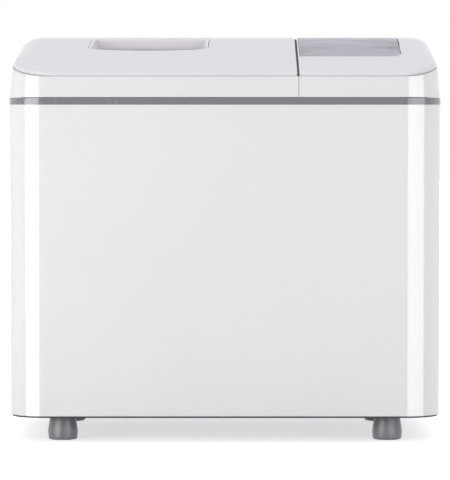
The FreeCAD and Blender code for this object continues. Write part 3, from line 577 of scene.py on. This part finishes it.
def make_seam_shade_strip():
    """A black strip in the rubber finish on the wash lid's edge, down in the gap between the lids: a dark
    piece put there as painted shade, for the shadow in the seam.
    """
    left, right = SEAM_LEFT - 1 * MM, SEAM_RIGHT - 0.3 * MM
    front, length, steps = -HALF_Y + 5 * MM, LID_REAR + HALF_Y - 8 * MM, 60
    # The section's corners: x, and how far below the lids' surface, in millimetres.
    section = ((left, 2.3), (right - 0.5 * MM, 2.3), (right, 2.5), (right, 2.9), (left, 2.9))
    sides = len(section)
    vertices, faces = [], []
    for step in range(steps + 1):
        y = front + length * step / steps
        top = float(crown(SEAM_LEFT, y))
        for x, drop in section:
            vertices.append((x, y, top - drop * MM))
    for step in range(steps):
        a, b = sides * step, sides * (step + 1)
        faces += [(a + i, a + (i + 1) % sides, b + (i + 1) % sides, b + i) for i in range(sides)]
    faces += [tuple(range(sides)), tuple(sides * steps + i for i in range(sides))]
    # Painted shade: this dark strip stands for the shadow down in the seam between the lids.
    finish_mesh("seam_shade_strip", vertices, faces, MATERIALS["black_rubber"], "wash_lid", [])


# ---------------------------------------------------------------- knobs and dials
KNOB_FLUTES = 24
KNOB_CAP_HEIGHT = 17.2          # this and the rest of the knob's sizes are in millimetres
KNOB_STEM_RADIUS = 3
POINTER_HALF_WIDTH = 0.55
POINTER_THICKNESS = 1.2
KNOB_PROFILE = (
    # from the underside up: distance in from the widest radius, height, depth of the flutes
    (0.6, 0.0, 0.0), (0.1, 0.5, 0.0), (0.0, 1.6, 0.0), (0.5, 2.6, 0.0), (2.2, 3.6, 0.0),
    (3.2, 4.8, 0.2), (3.6, 6.0, 1.0), (4.0, 11.0, 1.0), (4.3, 14.4, 0.9), (4.9, 15.7, 0.4),
    (5.9, 16.5, 0.0), (7.5, 16.8, 0.0), (9.5, 16.4, 0.0),
)
POINTER_RIDGE = (
    # from the tip back to the middle: distance in from the widest radius, and height
    (0.6, 3.2), (2.2, 4.2), (3.4, 6.2), (4.2, 15.2), (6.2, 16.9),
)
POINTER_TAIL = (6.0, 17.0)      # where the ridge ends: distance from the axis, and height
TICK_START = 19.0 * MM          # distances from the knob's axis
TICK_END_LONG = 22.0 * MM
TICK_END_SHORT = 20.8 * MM
NUMBER_REACH = 26.0 * MM
NUMBER_HEIGHT = 5.2 * MM
KNOB_BODIES = {
    "wash_timer_knob": "wash_timer",
    "drain_selector_knob": "drain_selector",
    "spin_timer_knob": "spin_timer",
}
DIALS = {
    # node: (dial name, numbers, sweep in degrees, steps between numbers)
    "wash_timer_knob": ("dial_left", ["0", "3", "6", "9", "12", "15"], 315, 3),
    "drain_selector_knob": ("dial_middle", ["1", "2"], 90, 1),
    "spin_timer_knob": ("dial_right", ["0", "1", "2", "3", "4", "5"], 300, 2),
}


def node_centre(node):
    """The x and y of the middle of a node's box."""
    low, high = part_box(node)
    return (low[0] + high[0]) / 2, (low[1] + high[1]) / 2


def turned_piece(name, body, node, centre, profile, flutes, material, count=144):
    """A turned solid. Each profile point is (radius, height, flute depth), in millimetres."""
    angles = spokes(count)
    rings = []
    for radius, height, depth in profile:
        r = (radius - depth * (0.5 - 0.5 * np.cos(flutes * angles)) ** 2) * MM
        z = np.full(count, height * MM)
        rings.append(np.stack([centre[0] + r * np.cos(angles), centre[1] + r * np.sin(angles), z], axis=1))
    ends = np.array([(*centre, profile[0][1] * MM), (*centre, profile[-1][1] * MM)])
    faces = capped_faces(len(rings), count)
    finish_mesh(name, np.concatenate(rings + [ends]), faces, material, body, [node], sharp=28.0)


def make_knob(node, body):
    """A fluted knob cap on its stem, with a raised white pointer. Heights and radii are in millimetres."""
    low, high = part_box(node)
    centre = node_centre(node)
    bottom, top = low[2] / MM, high[2] / MM
    base = top - KNOB_CAP_HEIGHT
    radius = (high[0] - low[0]) / 2 / MM
    profile = [(KNOB_STEM_RADIUS, bottom, 0), (KNOB_STEM_RADIUS, base, 0)]
    profile += [(radius - inset, base + rise, flute) for inset, rise, flute in KNOB_PROFILE]
    turned_piece(node + "_cap", body, node, centre, profile, KNOB_FLUTES, MATERIALS["knob_plastic"])
    path = [(POINTER_TAIL[0], base + POINTER_TAIL[1])]
    path += [(radius - inset, base + rise) for inset, rise in reversed(POINTER_RIDGE)]
    vertices, faces = [], []
    for out, height in path:
        for side in (-POINTER_HALF_WIDTH, POINTER_HALF_WIDTH):
            for sink in (0.0, -POINTER_THICKNESS):
                vertices.append((centre[0] + side * MM, centre[1] - out * MM, (height + sink) * MM))
    for step in range(len(path) - 1):
        a, b = 4 * step, 4 * step + 4
        faces += [(a, a + 2, b + 2, b), (a + 1, b + 1, b + 3, a + 3), (a, b, b + 1, a + 1),
                  (a + 2, a + 3, b + 3, b + 2)]
    end = 4 * (len(path) - 1)
    faces += [(0, 1, 3, 2), (end, end + 2, end + 3, end + 1)]
    finish_mesh(node + "_pointer", vertices, faces, MATERIALS["pointer_white"], body, [])


def make_ticks(name, centre, top, sweep, steps, minor):
    """Printed ticks round a knob, clockwise from the front. Every minor-th one is longer."""
    vertices, faces = [], []
    for step in range(steps + 1):
        turn = math.radians(sweep * step / steps)
        long = step % minor == 0
        outward = Vector((-math.sin(turn), -math.cos(turn)))
        across = Vector((outward.y, -outward.x)) * (0.35 * MM if long else 0.22 * MM)
        end = TICK_END_LONG if long else TICK_END_SHORT
        base = len(vertices)
        for height in (top - 0.05 * MM, top + 0.12 * MM):
            for reach, side in ((TICK_START, -1), (TICK_START, 1), (end, 1), (end, -1)):
                spot = Vector(centre) + outward * reach + across * side
                vertices.append((spot.x, spot.y, height))
        faces += [(base, base + 1, base + 2, base + 3), (base + 4, base + 5, base + 6, base + 7)]
        for side in range(4):
            after = (side + 1) % 4
            faces.append((base + side, base + after, base + 4 + after, base + 4 + side))
    finish_mesh(name + "_ticks", vertices, faces, MATERIALS["print_ink"], "cabinet", [])


def make_number(name, label, x, y, top):
    """One printed number, which lies on the facia."""
    text = bpy.data.curves.new(name, "FONT")
    text.body = label
    text.size = NUMBER_HEIGHT
    text.extrude = 0.06 * MM
    text.align_x = "CENTER"
    text.align_y = "CENTER"
    text.materials.append(MATERIALS["print_ink"])
    piece = bpy.data.objects.new(name, text)
    bpy.context.scene.collection.objects.link(piece)
    piece.location = (x, y, top + 0.06 * MM)
    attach(piece, "cabinet")


def make_controls():
    """The three knobs, each with its printed dial on the facia."""
    for node, body in KNOB_BODIES.items():
        make_knob(node, body)
    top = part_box("control_facia")[1][2]
    for node, (name, labels, sweep, minor) in DIALS.items():
        centre = node_centre(node)
        intervals = len(labels) - 1
        make_ticks(name, centre, top, sweep, intervals * minor, minor)
        for index, label in enumerate(labels):
            turn = math.radians(sweep * index / intervals)
            x = centre[0] - math.sin(turn) * NUMBER_REACH
            y = centre[1] - math.cos(turn) * NUMBER_REACH
            make_number("%s_number_%d" % (name, index), label, x, y, top)


# ---------------------------------------------------------------- spin basket
BASKET_COLUMNS = 44
BASKET_ROWS = 18
BASKET_HOLE_RADIUS = 2.4 * MM
BASKET_STEEL = 1.2 * MM
BASKET_FOLD = 12 * MM           # height of the folded edge between the floor and the punched wall


def punched_wall(centre, radius, bottom, top):
    """Square tiles round a cylinder, each with an eight-sided hole. The first and last rows are solid."""
    vertices, faces = [], []
    tall = (top - bottom) / BASKET_ROWS
    wide = 2 * math.pi * radius / BASKET_COLUMNS
    square = [(1, 0), (1, 1), (0, 1), (-1, 1), (-1, 0), (-1, -1), (0, -1), (1, -1)]

    def on_wall(along, height):
        turn = along / radius
        return (centre[0] + radius * math.cos(turn), centre[1] + radius * math.sin(turn), height)

    # Each tile is eight points round its square and eight round its hole.
    for column in range(BASKET_COLUMNS):
        for row in range(BASKET_ROWS):
            middle = (column + 0.5) * wide
            height = bottom + (row + 0.5) * tall
            base = len(vertices)
            for sx, sz in square:
                vertices.append(on_wall(middle + sx * wide / 2, height + sz * tall / 2))
            for step in range(8):
                turn = math.radians(45 * step)
                along = middle + BASKET_HOLE_RADIUS * math.cos(turn)
                vertices.append(on_wall(along, height + BASKET_HOLE_RADIUS * math.sin(turn)))
            for step in range(8):
                after = (step + 1) % 8
                faces.append((base + step, base + after, base + 8 + after, base + 8 + step))
            if row in (0, BASKET_ROWS - 1):
                faces.append(tuple(base + 8 + step for step in range(8)))
    return vertices, faces


def make_basket():
    """The spin basket: a pressed steel cylinder with rows of punched holes and a folded floor."""
    low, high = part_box("spin_basket")
    centre = node_centre("spin_basket")
    radius, floor = (high[0] - low[0]) / 2, low[2]
    vertices, faces = punched_wall(centre, radius, floor + BASKET_FOLD, high[2])
    around = 2 * BASKET_COLUMNS
    first = len(vertices)
    # From the wall down round the fold and in to the shaft: radius and height.
    profile = [(radius, floor + BASKET_FOLD), (radius - 2 * MM, floor + 6 * MM),
               (radius - 6 * MM, floor + 2 * MM), (radius - 12 * MM, floor),
               (radius * 0.6, floor), (7 * MM, floor)]
    for r, z in profile:
        for step in range(around):
            turn = math.pi * 2 * step / around
            vertices.append((centre[0] + r * math.cos(turn), centre[1] + r * math.sin(turn), z))
    faces += [tuple(first + corner for corner in face) for face in ring_faces(len(profile), around, False)]
    piece = finish_mesh("spin_basket_shell", vertices, faces, MATERIALS["basket_steel"],
                        "spin_drive", ["spin_basket"], sharp=40.0, weld=0.02 * MM)
    skin = piece.modifiers.new("thickness", "SOLIDIFY")
    skin.thickness = BASKET_STEEL
    skin.offset = -1


# ---------------------------------------------------------------- room, lights and camera
FLOOR_HALF = 14.0               # half the floor's width
FLOOR_GLOW = 0.62               # added to the floor for the camera only, so that it looks white
WORLD_COLOUR = (0.985, 0.985, 1.0, 1.0)
WORLD_FRONT, WORLD_BACK = 0.30, 0.90            # brightness on the camera's side and behind the object
WORLD_FADE_START, WORLD_FADE_END = -0.75, 0.35  # the part of the sky's Y in which one turns into the other
LEFT_SOFTBOX = (16.5, 64.3, 4.3)    # its two edges in degrees off the line to the camera, and radiance
RIGHT_SOFTBOX = (10.0, 62.0, 2.5)
SOFTBOX_NEAR, SOFTBOX_FAR = 1.75, 1.50          # how far off its two edges stand
SOFTBOX_LOW, SOFTBOX_HIGH = -0.45, 0.80
SOFTBOX_CORNER = (0.28, -0.16)      # the cabinet's front corner, as x and y
TOP_LIGHT_PLACE, TOP_LIGHT_AIM = (0.0, -0.3, 2.2), (0.0, 0.0, 0.5)
TOP_LIGHT_SIZE = (2.4, 1.6)
TOP_LIGHT_RADIANCE = 0.56
TOP_LIGHT_COLOUR = (0.92, 0.90, 1.36)
CAMERA_DISTANCE = 4.19              # from the front of the band
CAMERA_RISE = 0.7 * MM              # above the middle of the band
CAMERA_PITCH = -2.58                # degrees
CAMERA_LENS = 232.0


def make_floor():
    """A plain pale floor that takes soft shadows and doesn't show in the gloss."""
    mesh = bpy.data.meshes.new("floor")
    corners = [(-FLOOR_HALF, -FLOOR_HALF, 0), (FLOOR_HALF, -FLOOR_HALF, 0),
               (FLOOR_HALF, FLOOR_HALF, 0), (-FLOOR_HALF, FLOOR_HALF, 0)]
    mesh.from_pydata(corners, [], [(0, 1, 2, 3)])
    floor = bpy.data.objects.new("floor", mesh)
    bpy.context.scene.collection.objects.link(floor)
    m = Material("floor_white", 0.8)
    m.to("Base Color", m.greys(m.noise(2.0, detail=3.0), 0.86, 0.88))
    m.set("Emission Color", (1.0, 1.0, 1.0, 1.0))
    glow = m.nodes.new("ShaderNodeMath")
    glow.operation = "MULTIPLY"
    glow.inputs[1].default_value = FLOOR_GLOW
    m.links.new(m.nodes.new("ShaderNodeLightPath").outputs["Is Camera Ray"], glow.inputs[0])
    m.to("Emission Strength", glow.outputs["Value"])
    m.set("Specular IOR Level", 0.1)
    mesh.materials.append(m.data)
    floor.visible_glossy = False


def make_world():
    """A white studio: bright behind the object, dimmer on the camera's side, plain white to the camera."""
    world = bpy.data.worlds.new("studio")
    bpy.context.scene.world = world
    world.use_nodes = True
    nodes, links = world.node_tree.nodes, world.node_tree.links
    nodes.clear()
    split = nodes.new("ShaderNodeSeparateXYZ")
    links.new(nodes.new("ShaderNodeTexCoord").outputs["Generated"], split.inputs["Vector"])
    across = nodes.new("ShaderNodeMapRange")
    across.interpolation_type = "SMOOTHSTEP"
    across.inputs["From Min"].default_value = WORLD_FADE_START
    across.inputs["From Max"].default_value = WORLD_FADE_END
    across.inputs["To Min"].default_value = WORLD_FRONT
    across.inputs["To Max"].default_value = WORLD_BACK
    links.new(split.outputs["Y"], across.inputs["Value"])
    light = nodes.new("ShaderNodeBackground")
    light.inputs["Color"].default_value = WORLD_COLOUR
    links.new(across.outputs["Result"], light.inputs["Strength"])
    seen = nodes.new("ShaderNodeBackground")
    seen.inputs["Color"].default_value = (1.0, 1.0, 1.0, 1.0)
    seen.inputs["Strength"].default_value = 1.0
    mix = nodes.new("ShaderNodeMixShader")
    links.new(nodes.new("ShaderNodeLightPath").outputs["Is Camera Ray"], mix.inputs["Fac"])
    links.new(light.outputs["Background"], mix.inputs[1])
    links.new(seen.outputs["Background"], mix.inputs[2])
    out = nodes.new("ShaderNodeOutputWorld")
    links.new(mix.outputs["Shader"], out.inputs["Surface"])


def softbox(name, place, aim, width, height, radiance, colour=(1, 1, 1)):
    """A rectangular light that faces aim. Its power follows from how bright its face should look."""
    data = bpy.data.lights.new(name, "AREA")
    data.shape = "RECTANGLE"
    data.size, data.size_y = width, height
    data.energy = radiance * math.pi * width * height
    data.color = colour
    lamp = bpy.data.objects.new(name, data)
    bpy.context.scene.collection.objects.link(lamp)
    lamp.location = place
    lamp.rotation_euler = (Vector(aim) - Vector(place)).to_track_quat("-Z", "Y").to_euler()
    lamp.visible_camera = False


def side_softbox(name, side, start, end, radiance):
    """A tall light beside the camera that shines in one rounded corner of the cabinet.

    side is -1 for the left and 1 for the right. start and end are its edges as seen from that corner,
    in degrees off the line to the camera.
    """
    def edge(degrees, distance):
        turn = math.radians(degrees)
        return corner + distance * Vector((math.sin(turn) * side, -math.cos(turn)))

    corner = Vector((SOFTBOX_CORNER[0] * side, SOFTBOX_CORNER[1]))
    near, far = edge(start, SOFTBOX_NEAR), edge(end, SOFTBOX_FAR)
    middle = (near + far) / 2
    facing = Vector((near.y - far.y, far.x - near.x)) * side
    height = (SOFTBOX_LOW + SOFTBOX_HIGH) / 2
    place = (middle.x, middle.y, height)
    aim = (middle.x + facing.x, middle.y + facing.y, height)
    softbox(name, place, aim, (far - near).length, SOFTBOX_HIGH - SOFTBOX_LOW, radiance)


def make_lights():
    """A tall softbox on each side of the camera, the left one brighter, and a large one overhead."""
    side_softbox("left_softbox", -1, *LEFT_SOFTBOX)
    side_softbox("right_softbox", 1, *RIGHT_SOFTBOX)
    softbox("top_softbox", TOP_LIGHT_PLACE, TOP_LIGHT_AIM, *TOP_LIGHT_SIZE, TOP_LIGHT_RADIANCE,
            TOP_LIGHT_COLOUR)


def make_camera():
    """Level with the trim band, far off, turned down a little so that the object is in the middle."""
    data = bpy.data.cameras.new("camera")
    data.sensor_width = 36.0
    data.lens = CAMERA_LENS
    camera = bpy.data.objects.new("camera", data)
    bpy.context.scene.collection.objects.link(camera)
    camera.location = (0.0, -HALF_Y - CAMERA_DISTANCE, (BAND_TOP + BAND_BOTTOM) / 2 + CAMERA_RISE)
    camera.rotation_euler = (math.radians(90 + CAMERA_PITCH), 0.0, 0.0)
    data.clip_start, data.clip_end = 0.05, 100.0
    bpy.context.scene.camera = camera


bpy.context.scene.view_settings.view_transform = "Standard"
bpy.context.scene.view_settings.look = "None"
make_camera()
make_world()
make_lights()
make_floor()
paint_cad_nodes()
soften_edges("rear_cowl", 1.8 * MM)
soften_edges("trim_band", 0.5 * MM)
soften_edges("feet", 0.5 * MM)
lid_panel("wash_lid_top", "wash_lid", "wash_lid_panel", False, GRIP_CENTRE, grip_inside)
lid_panel("spin_lid_top", "spin_lid", "spin_lid_panel", True, WINDOW_CENTRE, window_inside)
make_grip_cup()
make_window()
make_seam_shade_strip()
make_controls()
make_basket()

bpy.context.view_layer.update()
